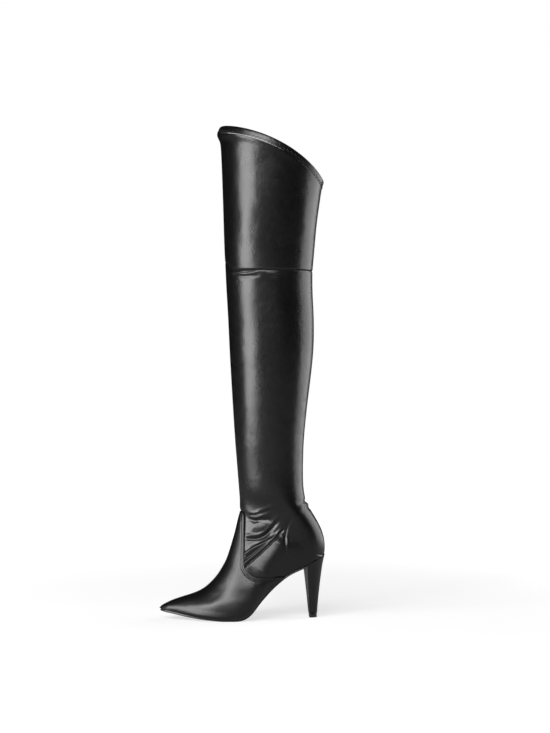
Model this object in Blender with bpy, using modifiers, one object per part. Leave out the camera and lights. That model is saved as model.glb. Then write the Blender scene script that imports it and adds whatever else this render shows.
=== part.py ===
"""Thigh high boot for the left foot: pointed toe, tapered covered heel, seam at the knee, slanted collar.

Metres, +Z up. The origin is the middle of the heel's top piece on the floor. The toe points along -X and
the outer side of the foot faces -Y.
"""

import math
from bisect import bisect_right
from collections import namedtuple

import bmesh
import bpy
from mathutils import Vector

# The foot, as its last gives it
FOOT_LENGTH = 0.2330  # tip of the toe to the back of the counter, along the floor
HEEL_HEIGHT = 0.0905  # floor to the edge of the upper at the back of the seat
HEEL_SETBACK = 0.0175  # back of the counter behind the middle of the top piece
BALL_WIDTH = 0.0806  # upper across the ball
TREAD_WIDTH = 0.0710  # last's bottom across the ball
INSTEP_RISE = 0.0700  # sole to instep ridge, upright
TOE_SPRING = 0.0118  # last's bottom at the toe above the ball
COUNTER_HEIGHT = 0.0710  # seat to the fold over the counter

# The leg
SHAFT_HEIGHT = 0.6065  # seat to the front of the topline
TOPLINE_DROP = 0.0790  # front of the topline to its back
TOPLINE_BOW = 0.5300  # share of that drop that gathers towards the back
KNEE_HEIGHT = 0.4024  # seat to the knee seam
KNEE_PEAK = 0.0135  # how far the knee seam rises at the shin
KNEE_PEAK_REACH = math.radians(40)  # angle from the shin at which that rise ends
CALF_DEPTH = 0.1205  # front to back
CALF_WIDTH = 0.1060  # side to side
SHIN_SETBACK = 0.1240  # shin line ahead of the back of the counter

# Thicknesses and clearances
WALL = 0.0016  # upper leather with its lining
OVERLAY = 0.0011  # vamp, where it lies over the upper
BAND_WALL = 0.0026  # turned edge at the collar
BAND_HEIGHT = 0.0100
FRONT_FLARE = 0.0050  # how far the collar rolls out at the shin
BACK_FLARE = 0.0025
SOLE_THICKNESS = 0.0035  # outsole at the ball
WAIST_THICKNESS = 0.0024  # outsole at the arch
SOLE_CHAMFER = 0.0008
SOLE_EDGE = 0.0012  # outsole's outline beyond the last's bottom
INSOLE_THICKNESS = 0.0025
INSOLE_INSET = 0.0035  # insole's edge inside the last's bottom
GAP = 0.0003  # between pieces that touch

# The heel
BREAST_SETBACK = 0.0292  # front of the heel's seat ahead of the back of the counter
TOP_PIECE_LENGTH = 0.0106
TOP_PIECE_WIDTH = 0.0114
TOP_PIECE_HEIGHT = 0.0066
TOP_PIECE_FLARE = 1.07  # its upper face over its underside
HEEL_ROUNDNESS = 0.92  # below 1 the heel's back is fuller than an ellipse

# The vamp's seam, seen from the side
VAMP_SETBACK = 0.0606  # where the seam reaches the sole, ahead of the back of the counter
TONGUE_DEPTH = 0.0058  # vamp's top corner behind the shin line
SEAM_SLANT = 0.0046  # how far the seam runs forward on its way down
SEAM_RADIUS = 0.0215
CORNER_RADIUS = 0.0045

# How finely the surfaces are divided
HALF_COLUMNS = 16  # faces from the sole or heel to the ridge, on each side
OUTLINE_POINTS = 40
LONGEST_ROW = 0.0180
HEEL_COLUMNS = 18
ARC_POINTS = 7

TRIM = 0.0025  # how far the uppers run below the sole line before they are cut to it
MERGE = 0.00001
REACH = 0.0400  # how far a cutter stands out of what it cuts

Section = namedtuple("Section", "back_x back_z front_x front_z tread width belly crown side")

# From the tip to the back of the seat. sole: share of the foot from its back. toe and heel: height as shares of
# the toe spring and of the heel's rise. lean and rise: sole to ridge, as shares of the foot and the instep.
# tread and width: shares of the half widths. belly: where the section is widest, from sole to ridge.
# side: shift towards the inner side, as a share of the ball width.
FOOT_ROWS = (
    # sole   toe    heel   lean    rise   tread  width  belly  crown  side
    (0.9966, 1.000, 0.000, 0.0026, 0.030, 0.000, 0.000, 0.420, 2.10, 0.086),
    (0.9915, 0.955, 0.000, 0.0017, 0.058, 0.088, 0.104, 0.420, 2.10, 0.086),
    (0.9735, 0.885, 0.000, -0.0012, 0.104, 0.208, 0.222, 0.420, 2.10, 0.085),
    (0.9400, 0.790, 0.000, -0.0058, 0.180, 0.335, 0.342, 0.400, 2.10, 0.081),
    (0.8800, 0.545, 0.000, 0.0023, 0.278, 0.520, 0.520, 0.370, 2.10, 0.070),
    (0.8049, 0.300, 0.000, 0.0112, 0.383, 0.732, 0.722, 0.340, 2.10, 0.050),
    (0.7185, 0.110, 0.000, 0.0284, 0.516, 0.905, 0.895, 0.310, 2.08, 0.024),
    (0.6281, 0.000, 0.000, 0.0583, 0.712, 1.000, 0.998, 0.290, 2.04, -0.002),
    (0.5458, 0.000, 0.000, 0.0969, 0.902, 0.975, 1.000, 0.280, 2.00, -0.020),
    (0.4914, 0.000, 0.051, 0.1168, 1.047, 0.872, 0.930, 0.280, 1.95, -0.028),
    (0.4184, 0.000, 0.277, 0.1686, 0.974, 0.770, 0.856, 0.270, 1.90, -0.032),
    (0.3325, 0.000, 0.512, 0.2365, 0.883, 0.715, 0.818, 0.270, 1.88, -0.030),
    (0.2381, 0.000, 0.705, 0.3135, 0.859, 0.700, 0.801, 0.280, 1.88, -0.020),
    (0.1309, 0.000, 0.836, 0.4097, 0.860, 0.715, 0.794, 0.290, 1.90, -0.006),
    (0.0579, 0.000, 0.932, 0.4754, 0.855, 0.590, 0.789, 0.300, 1.90, 0.000),
    (0.0213, 0.000, 0.976, 0.5078, 0.866, 0.365, 0.787, 0.300, 1.92, 0.000),
    (0.0064, 0.000, 1.000, 0.5191, 0.893, 0.000, 0.787, 0.300, 1.92, 0.000),
)
BREAST = 13  # row at the front of the heel's seat
SEAT_BACK = len(FOOT_ROWS) - 1

# From the seat up over the counter. up and front_up: heights above the seat, as shares of the counter.
# back: ahead of the back of the counter, as a share of the foot. shin: ahead of the shin line, likewise.
HEEL_ROWS = (
    # back   up     shin     front_up  width  belly  crown
    (0.0000, 0.115, 0.0000, 0.951, 0.794, 0.300, 1.94),
    (0.0020, 0.275, -0.0013, 1.028, 0.806, 0.310, 1.96),
    (0.0168, 0.465, -0.0017, 1.106, 0.826, 0.330, 1.98),
    (0.0432, 0.641, -0.0013, 1.176, 0.851, 0.360, 2.00),
    (0.0783, 0.831, -0.0004, 1.247, 0.876, 0.390, 2.00),
    (0.1047, 0.965, 0.0008, 1.317, 0.893, 0.410, 2.00),
    (0.1220, 1.085, 0.0025, 1.402, 0.908, 0.430, 2.00),
    (0.1342, 1.315, 0.0064, 1.571, 0.923, 0.450, 2.00),
    (0.1372, 1.655, 0.0116, 1.796, 0.943, 0.460, 2.00),
)

# Level sections of the leg. up: height above the seat, as a share of the shaft. middle: ahead of the back of the
# counter, as a share of the foot. depth and width: shares of the calf's.
LEG_ROWS = (
    # up     middle  depth  width  belly  crown  side
    (0.2630, 0.3443, 0.815, 0.783, 0.470, 2.00, 0.000),
    (0.3339, 0.3416, 0.871, 0.868, 0.470, 2.00, 0.010),
    (0.4048, 0.3348, 0.939, 0.943, 0.470, 2.02, 0.018),
    (0.4740, 0.3295, 1.000, 0.992, 0.475, 2.04, 0.020),
    (0.5218, 0.3311, 1.016, 1.004, 0.480, 2.05, 0.016),
    (0.5680, 0.3350, 1.023, 1.000, 0.480, 2.05, 0.010),
    (0.6158, 0.3438, 1.023, 0.992, 0.485, 2.05, 0.004),
    (0.6422, 0.3470, 1.022, 0.996, 0.485, 2.05, 0.000),
    (0.6669, 0.3458, 1.036, 1.009, 0.490, 2.05, -0.004),
    (0.7082, 0.3446, 1.069, 1.047, 0.490, 2.05, -0.008),
    (0.7791, 0.3396, 1.109, 1.132, 0.500, 2.05, -0.012),
    (0.8252, 0.3325, 1.152, 1.179, 0.500, 2.05, -0.014),
    (0.8731, 0.3260, 1.191, 1.217, 0.500, 2.05, -0.014),
    (0.9390, 0.3197, 1.245, 1.255, 0.500, 2.05, -0.014),
    (1.0000, 0.3177, 1.270, 1.264, 0.500, 2.05, -0.014),
)

# The roll of the collar. below: under the topline, as a share of the band. Shares of the two flares.
FLARE_ROWS = (
    # below  front  back
    (0.0, 0.15, 1.00),
    (0.4, 0.60, 0.50),
    (1.0, 1.00, 0.15),
    (1.2, 1.00, 0.13),
    (1.5, 0.78, 0.04),
    (2.0, 0.25, 0.00),
    (2.7, 0.00, 0.00),
)

# The heel block downward from its seat. down: share of the way. front, back and width: shares of the way from
# the seat's outline, at 0, to the top piece's, at 1.
HEEL_BLOCK_ROWS = (
    # down  front  back   width
    (0.000, 0.000, 0.000, 0.000),
    (0.050, 0.050, 0.080, 0.100),
    (0.110, 0.110, 0.200, 0.190),
    (0.190, 0.180, 0.320, 0.290),
    (0.340, 0.340, 0.480, 0.450),
    (0.520, 0.530, 0.660, 0.610),
    (0.700, 0.700, 0.810, 0.760),
    (0.870, 0.860, 0.940, 0.900),
    (1.000, 1.000, 1.000, 1.000),
)


class SmoothTable:
    """Rows of numbers, read between their knots by cubics that never overshoot, so what is flat stays flat."""

    def __init__(self, knots, rows):
        self.knots = list(knots)
        self.columns = list(zip(*rows))
        self.slopes = [self._slopes(column) for column in self.columns]

    def _slopes(self, column):
        steps = [b - a for a, b in zip(self.knots, self.knots[1:])]
        rates = [(b - a) / step for a, b, step in zip(column, column[1:], steps)]
        slopes = [rates[0]]
        for step, after, rate, rate_after in zip(steps, steps[1:], rates, rates[1:]):
            if rate * rate_after <= 0:
                slopes.append(0.0)
                continue
            here, there = 2 * after + step, after + 2 * step
            slopes.append((here + there) / (here / rate + there / rate_after))
        return slopes + [rates[-1]]

    def at(self, knot):
        low = min(max(bisect_right(self.knots, knot) - 1, 0), len(self.knots) - 2)
        step = self.knots[low + 1] - self.knots[low]
        share = min(max((knot - self.knots[low]) / step, 0.0), 1.0)
        rest = 1 - share
        return [
            column[low] * rest * rest * (1 + 2 * share)
            + column[low + 1] * share * share * (1 + 2 * rest)
            + slope[low] * step * share * rest * rest
            - slope[low + 1] * step * share * share * rest
            for column, slope in zip(self.columns, self.slopes)
        ]


def bed_thickness():
    """Height of the last's bottom over the floor, at the ball."""
    return SOLE_THICKNESS + GAP


def foot_section(sole, toe, heel, lean, rise, tread, width, belly, crown, side):
    back_x = HEEL_SETBACK - sole * FOOT_LENGTH
    back_z = bed_thickness() + toe * TOE_SPRING + heel * (HEEL_HEIGHT - bed_thickness())
    return Section(
        back_x,
        back_z,
        back_x - lean * FOOT_LENGTH,
        back_z + rise * INSTEP_RISE,
        tread * TREAD_WIDTH / 2,
        width * BALL_WIDTH / 2,
        belly,
        crown,
        side * BALL_WIDTH,
    )


def heel_section(back, up, shin, front_up, width, belly, crown):
    return Section(
        HEEL_SETBACK - back * FOOT_LENGTH,
        HEEL_HEIGHT + up * COUNTER_HEIGHT,
        HEEL_SETBACK - SHIN_SETBACK - shin * FOOT_LENGTH,
        HEEL_HEIGHT + front_up * COUNTER_HEIGHT,
        0.0,
        width * BALL_WIDTH / 2,
        belly,
        crown,
        0.0,
    )


def leg_section(up, middle, depth, width, belly, crown, side):
    middle_x = HEEL_SETBACK - middle * FOOT_LENGTH
    height = HEEL_HEIGHT + up * SHAFT_HEIGHT
    return Section(
        middle_x + depth * CALF_DEPTH / 2,
        height,
        middle_x - depth * CALF_DEPTH / 2,
        height,
        0.0,
        width * CALF_WIDTH / 2,
        belly,
        crown,
        side * BALL_WIDTH,
    )


FOOT = [foot_section(*row) for row in FOOT_ROWS]
HEEL = [heel_section(*row) for row in HEEL_ROWS]
LEG = [leg_section(*row) for row in LEG_ROWS]
LOWERED = [section._replace(back_z=section.back_z - TRIM) for section in FOOT]
BED_TABLE = SmoothTable(range(len(FOOT)), FOOT)
ANKLE_TOP = len(FOOT) + len(HEEL)  # the first level section's knot
SKIN_TABLE = SmoothTable(range(ANKLE_TOP + 1), LOWERED + HEEL + LEG[:1])
LEG_TABLE = SmoothTable([section.back_z for section in LEG], LEG)
FLARE_TABLE = SmoothTable([row[0] * BAND_HEIGHT for row in FLARE_ROWS], [row[1:] for row in FLARE_ROWS])


def foot_section_at(knot):
    return Section(*SKIN_TABLE.at(knot))


def leg_section_at(height):
    return Section(*LEG_TABLE.at(height))


def bed_points(first, last, longest=LONGEST_ROW / 2):
    """The last's bottom along the middle, as (x, z)."""
    return [BED_TABLE.at(knot)[:2] for knot in row_knots(BED_TABLE, first, last, longest)]


def bed_height(x):
    """Height of the last's bottom at x, which runs on straight past the tip and the back."""
    points = bed_points(0, SEAT_BACK)
    pairs = list(zip(points, points[1:]))
    (x0, z0), (x1, z1) = next((pair for pair in pairs if x <= pair[1][0]), pairs[-1])
    return z0 + (z1 - z0) * (x - x0) / (x1 - x0)


def row_knots(table, first, last, longest):
    """Whole knots, with others between them where the surface would step further than longest."""
    knots = []
    for knot in range(first, last):
        here, there = Section(*table.at(knot)), Section(*table.at(knot + 1))
        reach = max(
            math.hypot(there.back_x - here.back_x, there.back_z - here.back_z),
            math.hypot(there.front_x - here.front_x, there.front_z - here.front_z),
        )
        count = max(1, math.ceil(reach / longest))
        knots += [knot + i / count for i in range(count)]
    return knots + [last]


def spaced_evenly(points, count):
    """count + 1 points at equal distances along a polyline."""
    lengths = [0.0]
    for a, b in zip(points, points[1:]):
        lengths.append(lengths[-1] + (b - a).length)
    spaced = []
    for i in range(count + 1):
        target = lengths[-1] * i / count
        k = min(max(bisect_right(lengths, target) - 1, 0), len(points) - 2)
        span = lengths[k + 1] - lengths[k]
        spaced.append(points[k].lerp(points[k + 1], (target - lengths[k]) / span if span else 0.0))
    return spaced


def half_outline(section):
    """One side of a section, from the sole or the back to the ridge, as (share of the way, distance out)."""
    width = max(section.width, MERGE)
    start = math.asin(min(section.tread / width, 0.98))
    points = []
    for i in range(OUTLINE_POINTS):
        angle = start + (math.pi / 2 - start) * i / OUTLINE_POINTS
        along = section.belly * (1 - math.cos(angle) / math.cos(start))
        points.append((along, section.width * math.sin(angle)))
    power = 2 / section.crown
    for i in range(OUTLINE_POINTS + 1):
        angle = math.pi / 2 * i / OUTLINE_POINTS
        along = section.belly + (1 - section.belly) * math.sin(angle) ** power
        points.append((along, section.width * max(math.cos(angle), 0.0) ** power))
    return points


def ring(section):
    """The section's points, from the outer side of the sole or back, over the ridge, to the inner side."""
    back = Vector((section.back_x, section.side, section.back_z))
    front = Vector((section.front_x, section.side, section.front_z))
    half = [back.lerp(front, along) + Vector((0, out, 0)) for along, out in half_outline(section)]
    half = spaced_evenly(half, HALF_COLUMNS)
    outer = [Vector((p.x, 2 * section.side - p.y, p.z)) for p in half]
    return outer + half[-2::-1]


def leg_rings(heights):
    """A row of the leg's surface that has its own height for each column."""
    return [ring(leg_section_at(height))[column] for column, height in enumerate(heights)]


def column_angles():
    """Angle of each column from the shin, going round the top of the shaft."""
    section = LEG[-1]
    middle = (section.back_x + section.front_x) / 2
    points = ring(section)
    half_depth = (section.back_x - section.front_x) / 2
    return [math.acos(min(max((middle - p.x) / half_depth, -1.0), 1.0)) for p in points]


def topline(below=0.0):
    """Heights of the collar's edge, or of a line below it."""
    top = HEEL_HEIGHT + SHAFT_HEIGHT - below
    backward = [(1 - math.cos(angle)) / 2 for angle in column_angles()]
    bowed = [TOPLINE_BOW * share**2.5 + (1 - TOPLINE_BOW) * share for share in backward]
    return [top - TOPLINE_DROP * share for share in bowed]


def knee_line(above=0.0):
    """Heights of the knee seam, which peaks at the shin."""
    level = HEEL_HEIGHT + KNEE_HEIGHT + above
    peaks = [
        math.cos(math.pi / 2 * min(angle / KNEE_PEAK_REACH, 1.0)) ** 2 for angle in column_angles()
    ]
    return [level + KNEE_PEAK * peak for peak in peaks]


def collar_row(below, inward=0.0):
    """A row of the shaft near the collar, rolled out as the flare table says and moved inward."""
    points = leg_rings(topline(below))
    front, back = FLARE_TABLE.at(below)
    backward = [(1 - math.cos(angle)) / 2 for angle in column_angles()]
    row = []
    last = len(points) - 1
    for i, (point, share) in enumerate(zip(points, backward)):
        tangent = points[min(i + 1, last)] - points[max(i - 1, 0)]
        if i in (0, last):
            tangent = Vector((0, -1, 0))
        out = Vector((-tangent.y, tangent.x, 0)).normalized()
        roll = front * FRONT_FLARE * (1 - share) ** 1.5 + back * BACK_FLARE * share**3
        row.append(point + out * (roll - inward))
    return row


def skinned(rows, wrap_columns=False, wrap_rows=False):
    """A bmesh of quads between neighbouring rows of points, welded where they meet."""
    shape = bmesh.new()
    grid = [[shape.verts.new(point) for point in row] for row in rows]
    if wrap_rows:
        grid.append(grid[0])
    for low, high in zip(grid, grid[1:]):
        pairs = list(zip(low, high))
        if wrap_columns:
            pairs.append(pairs[0])
        for (a, b), (c, d) in zip(pairs, pairs[1:]):
            shape.faces.new((a, b, d, c))
    bmesh.ops.remove_doubles(shape, verts=shape.verts, dist=MERGE)
    return shape


def capped(rows):
    """A closed bmesh from rows that each go from one side round to its mirror image."""
    shape = bmesh.new()
    grid = [[shape.verts.new(point) for point in row] for row in rows]
    for low, high in zip(grid, grid[1:]):
        pairs = list(zip(low, high))
        for (a, b), (c, d) in zip(pairs, pairs[1:] + pairs[:1]):
            shape.faces.new((a, b, d, c))
    for end in (grid[0], grid[-1]):
        for i in range(len(end) // 2 - 1):
            shape.faces.new((end[i], end[i + 1], end[-2 - i], end[-1 - i]))
    bmesh.ops.remove_doubles(shape, verts=shape.verts, dist=MERGE)
    bmesh.ops.recalc_face_normals(shape, faces=shape.faces)
    return shape


def named_collection(name):
    collection = bpy.data.collections.new(name)
    bpy.context.scene.collection.children.link(collection)
    return collection


def material(name, colour, roughness):
    finish = bpy.data.materials.new(name)
    finish.use_nodes = True
    shader = finish.node_tree.nodes["Principled BSDF"]
    shader.inputs["Base Color"].default_value = (*colour, 1)
    shader.inputs["Roughness"].default_value = roughness
    shader.inputs["Metallic"].default_value = 0.0
    return finish


def placed(name, shape, finish, collection):
    """Turns a bmesh into a named object."""
    mesh = bpy.data.meshes.new(name)
    shape.to_mesh(mesh)
    shape.free()
    mesh.materials.append(finish)
    mesh.shade_smooth()
    mesh.set_sharp_from_angle(angle=math.radians(40))
    obj = bpy.data.objects.new(name, mesh)
    collection.objects.link(obj)
    return obj


def thicken(obj, thickness, offset=-1.0):
    shell = obj.modifiers.new("wall", "SOLIDIFY")
    shell.thickness = thickness
    shell.offset = offset
    shell.use_even_offset = True
    return shell


def cut(obj, cutter, operation):
    boolean = obj.modifiers.new(operation.lower(), "BOOLEAN")
    boolean.operation = operation
    boolean.object = cutter
    return boolean


def prism(name, outline, collection):
    """A cutter whose outline lies in the XZ plane and which reaches past both sides of the boot."""
    curve = bpy.data.curves.new(name, "CURVE")
    curve.dimensions = "2D"
    curve.fill_mode = "BOTH"
    curve.extrude = BALL_WIDTH
    spline = curve.splines.new("POLY")
    spline.points.add(len(outline) - 1)
    for point, (x, z) in zip(spline.points, outline):
        point.co = (x, z, 0, 1)
    spline.use_cyclic_u = True
    drawn = bpy.data.objects.new(name + "_outline", curve)
    collection.objects.link(drawn)
    drawn.rotation_euler.x = math.pi / 2
    bpy.context.view_layer.update()
    graph = bpy.context.evaluated_depsgraph_get()
    mesh = bpy.data.meshes.new_from_object(drawn.evaluated_get(graph))
    shape = bmesh.new()
    shape.from_mesh(mesh)
    bmesh.ops.remove_doubles(shape, verts=shape.verts, dist=MERGE)
    bmesh.ops.recalc_face_normals(shape, faces=shape.faces)
    shape.to_mesh(mesh)
    shape.free()
    cutter = bpy.data.objects.new(name, mesh)
    cutter.matrix_world = drawn.matrix_world
    collection.objects.link(cutter)
    bpy.data.objects.remove(drawn)
    cutter.hide_render = True
    cutter.display_type = "WIRE"
    return cutter


def arc(corner, start, end, radius):
    """Points of the round that replaces a corner between two straight lines."""
    toward_start = (Vector(start) - Vector(corner)).normalized()
    toward_end = (Vector(end) - Vector(corner)).normalized()
    half = toward_start.angle(toward_end) / 2
    centre = Vector(corner) + (toward_start + toward_end).normalized() * (radius / math.sin(half))
    first = Vector(corner) + toward_start * (radius / math.tan(half)) - centre
    last = Vector(corner) + toward_end * (radius / math.tan(half)) - centre
    return [tuple(centre + first.slerp(last, i / ARC_POINTS) * radius) for i in range(ARC_POINTS + 1)]


def bed_cutter(collection):
    """Everything below the last's bottom."""
    points = bed_points(0, SEAT_BACK)
    tip_x, back_x = points[0][0] - REACH, points[-1][0] + REACH
    outline = [(tip_x, bed_height(tip_x))] + points + [(back_x, bed_height(back_x))]
    return prism("bed_cutter", outline + [(back_x, -REACH), (tip_x, -REACH)], collection)


def vamp_cutter(collection):
    """The vamp seen from the side: the sole line, the curved seam and the top of the tongue."""
    foot_x = HEEL_SETBACK - VAMP_SETBACK
    foot = (foot_x, bed_height(foot_x))
    tip, shin = FOOT[0], FOOT[SEAT_BACK]
    top = (shin.front_x + TONGUE_DEPTH, shin.front_z - TONGUE_DEPTH / 2)
    corner = (top[0] - SEAM_SLANT, foot[1])
    ahead = (shin.front_x - REACH, shin.front_z + REACH / 2)
    below = [point for point in bed_points(0, SEAT_BACK) if point[0] < foot_x - MERGE]
    outline = (
        [(tip.back_x - REACH, bed_height(tip.back_x - REACH))]
        + below
        + [foot]
        + arc(corner, foot, top, SEAM_RADIUS)
        + arc(top, corner, ahead, CORNER_RADIUS)
        + [ahead, (tip.back_x - REACH, ahead[1])]
    )
    return prism("vamp_cutter", outline, collection)


def foot_rings(last):
    return [ring(foot_section_at(knot)) for knot in row_knots(SKIN_TABLE, 0, last, LONGEST_ROW)]


def make_upper(finish, collection, bed):
    """Quarters, foot lining and lower leg in one hollow skin, up to the knee seam."""
    start = LEG[0].back_z
    line = knee_line(-GAP)
    heights = [section.back_z for section in LEG if start < section.back_z < min(line) - LONGEST_ROW]
    rows = foot_rings(ANKLE_TOP) + [ring(leg_section_at(height)) for height in heights]
    obj = placed("upper", skinned(rows + [leg_rings(line)]), finish, collection)
    thicken(obj, WALL)
    cut(obj, bed, "DIFFERENCE")
    return obj


def make_vamp(finish, collection, outline):
    """Overlay that covers the toe and instep up to its tongue."""
    obj = placed("vamp", skinned(foot_rings(SEAT_BACK + 2)), finish, collection)
    thicken(obj, OVERLAY, 1 + 2 * GAP / OVERLAY)
    cut(obj, outline, "INTERSECT")
    return obj


def make_thigh_panel(finish, collection):
    """Upper shaft from the knee seam to the collar band."""
    roll_starts = FLARE_ROWS[-1][0] * BAND_HEIGHT
    low, high = knee_line(), topline(roll_starts)
    rows = [
        leg_rings([a + (b - a) * share for a, b in zip(low, high)]) for share in (0.0, 0.12, 0.35, 0.68)
    ]
    depths = [row[0] * BAND_HEIGHT for row in FLARE_ROWS if row[0] > 1][::-1] + [BAND_HEIGHT + 2 * GAP]
    obj = placed("thigh_panel", skinned(rows + [collar_row(depth) for depth in depths]), finish, collection)
    thicken(obj, WALL)
    return obj


def make_collar_band(finish, collection):
    """Turned edge round the collar: a flat band with a round top, seen as a loop in section."""
    half = BAND_WALL / 2
    profile = [(BAND_HEIGHT, 0.0), (BAND_HEIGHT * 0.4, 0.0)]
    profile += [
        (half * (1 - math.sin(angle)), half * (1 - math.cos(angle)))
        for angle in (math.pi * step / 4 for step in range(5))
    ]
    profile += [(BAND_HEIGHT * 0.4, BAND_WALL), (BAND_HEIGHT, BAND_WALL)]
    rows = [collar_row(below, inward)[:-1] for below, inward in profile]
    shape = skinned(rows, wrap_columns=True, wrap_rows=True)
    bmesh.ops.recalc_face_normals(shape, faces=shape.faces)
    return placed("collar_band", shape, finish, collection)


def sole_outline(last, by):
    """Stations of the last's bottom, grown outward by a distance: (x, half width, side shift, knot)."""
    stations = []
    knots = row_knots(BED_TABLE, 0, last, LONGEST_ROW / 2)
    sections = [Section(*BED_TABLE.at(knot)) for knot in knots]
    for i, (knot, section) in enumerate(zip(knots, sections)):
        ahead, behind = sections[max(i - 1, 0)], sections[min(i + 1, len(sections) - 1)]
        along = Vector((behind.back_x - ahead.back_x, behind.tread - ahead.tread))
        out = Vector((-1, 0)) if section.tread == 0 and i == 0 else Vector((-along.y, along.x)).normalized()
        if section.tread == 0 and i > 0:
            out = Vector((1, 0))
        stations.append((section.back_x + out.x * by, section.tread + out.y * by, section.side, knot))
    return stations


def sheet_rows(stations, top, thickness, chamfer=0.0):
    """Cross sections of a sheet that follows the last's bottom. top is its upper face's height over it."""
    rows = []
    for x, half, side, knot in stations:
        slope = (bed_height(x + MERGE) - bed_height(x - MERGE)) / (2 * MERGE)
        down = Vector((slope, 0, -1)).normalized()
        upper = Vector((x, side, bed_height(x))) - down * top
        depth = thickness(knot)
        edge = [(half, 0.0), (half, depth - chamfer), (half - chamfer, depth)]
        if not chamfer:
            edge = edge[:2]
        outer = [upper + down * deep - Vector((0, out, 0)) for out, deep in edge]
        inner = [upper + down * deep + Vector((0, out, 0)) for out, deep in edge]
        rows.append(outer + inner[::-1])
    return rows


def sole_thickness(knot):
    """Full at the ball, thinner at the arch."""
    ball, waist = BREAST - 5, BREAST - 2
    share = min(max((knot - ball) / (waist - ball), 0.0), 1.0)
    return SOLE_THICKNESS + (WAIST_THICKNESS - SOLE_THICKNESS) * share


def make_outsole(finish, collection):
    stations = sole_outline(BREAST, SOLE_EDGE)
    narrowest = SOLE_CHAMFER * 2
    stations = [(x, max(half, narrowest), side, knot) for x, half, side, knot in stations]
    rows = sheet_rows(stations, -GAP, sole_thickness, SOLE_CHAMFER)
    return placed("outsole", capped(rows), finish, collection)


def make_insole(finish, collection):
    stations = [s for s in sole_outline(SEAT_BACK, -INSOLE_INSET) if s[1] > INSOLE_INSET]
    xs = [station[0] for station in stations]
    stations = [s for i, s in enumerate(stations) if i == 0 or s[0] > max(xs[:i])]
    rows = sheet_rows(stations, INSOLE_THICKNESS, lambda knot: INSOLE_THICKNESS)
    return placed("insole", capped(rows), finish, collection)


def d_ring(front, back, half_width, height):
    """A ring with a straight front, round at the back, from the outer corner round to the inner one."""
    points = []
    for i in range(HEEL_COLUMNS):
        angle = math.pi * (i / (HEEL_COLUMNS - 1) - 0.5)
        x = front + (back - front) * max(math.cos(angle), 0.0) ** HEEL_ROUNDNESS
        points.append(Vector((x, half_width * math.sin(angle), height(x))))
    return points


def make_heel(finish, collection):
    """Covered heel, which tapers from the seat's outline to the top piece's."""
    seat_front, seat_back = HEEL_SETBACK - BREAST_SETBACK + GAP, FOOT[SEAT_BACK].back_x + SOLE_EDGE / 2
    seat_half = FOOT[BREAST].tread + SOLE_EDGE / 2
    foot_back = TOP_PIECE_LENGTH / 2 * TOP_PIECE_FLARE + GAP
    foot_half = TOP_PIECE_WIDTH / 2 * TOP_PIECE_FLARE + GAP
    foot_height = TOP_PIECE_HEIGHT + GAP
    seat = d_ring(seat_front, seat_back, seat_half, lambda x: bed_height(x) - GAP)
    rows = []
    for down, front, back, width in HEEL_BLOCK_ROWS:
        outline = d_ring(
            seat_front + (-foot_back - seat_front) * front,
            seat_back + (foot_back - seat_back) * back,
            seat_half + (foot_half - seat_half) * width,
            lambda x: foot_height,
        )
        for point, above in zip(outline, seat):
            point.z = above.z + (foot_height - above.z) * down
        rows.append(outline)
    return placed("heel", capped(rows), finish, collection)


def make_top_piece(finish, collection):
    """Hard tip that the heel stands on."""
    half_length, half_width = TOP_PIECE_LENGTH / 2, TOP_PIECE_WIDTH / 2
    wider = TOP_PIECE_FLARE
    rows = [
        d_ring(-half_length, half_length, half_width, lambda x: 0.0),
        d_ring(-half_length * wider, half_length * wider, half_width * wider, lambda x: TOP_PIECE_HEIGHT),
    ]
    return placed("top_piece", capped(rows), finish, collection)


def main():
    for obj in list(bpy.data.objects):
        bpy.data.objects.remove(obj)
    boot = named_collection("thigh_high_boot")
    cutters = named_collection("cutters")
    leather = material("black_stretch_leather", (0.012, 0.012, 0.013), 0.42)
    cover = material("heel_cover", (0.014, 0.014, 0.014), 0.45)
    rubber = material("black_rubber", (0.010, 0.010, 0.010), 0.55)
    lining = material("black_lining", (0.030, 0.029, 0.028), 0.90)
    make_outsole(rubber, boot)
    make_insole(lining, boot)
    make_upper(leather, boot, bed_cutter(cutters))
    make_vamp(leather, boot, vamp_cutter(cutters))
    make_thigh_panel(leather, boot)
    make_collar_band(leather, boot)
    make_heel(cover, boot)
    make_top_piece(rubber, boot)


main()
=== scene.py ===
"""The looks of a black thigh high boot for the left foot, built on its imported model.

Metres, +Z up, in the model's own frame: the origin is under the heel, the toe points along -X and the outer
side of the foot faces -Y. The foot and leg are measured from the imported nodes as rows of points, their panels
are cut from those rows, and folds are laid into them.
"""

import math
from collections import namedtuple

import bmesh
import bpy
import numpy as np
from mathutils import Matrix, Vector
from mathutils.bvhtree import BVHTree


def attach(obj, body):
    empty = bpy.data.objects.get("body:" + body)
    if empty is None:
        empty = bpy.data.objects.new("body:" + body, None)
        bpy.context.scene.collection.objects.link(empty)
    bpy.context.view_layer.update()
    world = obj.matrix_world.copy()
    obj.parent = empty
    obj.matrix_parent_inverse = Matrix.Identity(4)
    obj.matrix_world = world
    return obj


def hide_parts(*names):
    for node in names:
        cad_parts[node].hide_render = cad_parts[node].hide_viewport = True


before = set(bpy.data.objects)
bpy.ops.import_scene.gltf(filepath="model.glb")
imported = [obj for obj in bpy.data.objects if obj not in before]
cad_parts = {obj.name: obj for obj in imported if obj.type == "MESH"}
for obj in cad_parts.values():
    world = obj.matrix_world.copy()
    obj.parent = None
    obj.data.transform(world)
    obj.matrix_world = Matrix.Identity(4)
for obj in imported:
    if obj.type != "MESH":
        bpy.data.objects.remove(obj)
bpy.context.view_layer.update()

# Thicknesses and gaps
LEATHER = 0.0011
LINING = 0.0004
OVERLAY = 0.0011  # the vamp, over the quarters
CLEARANCE = 0.0003
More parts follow.
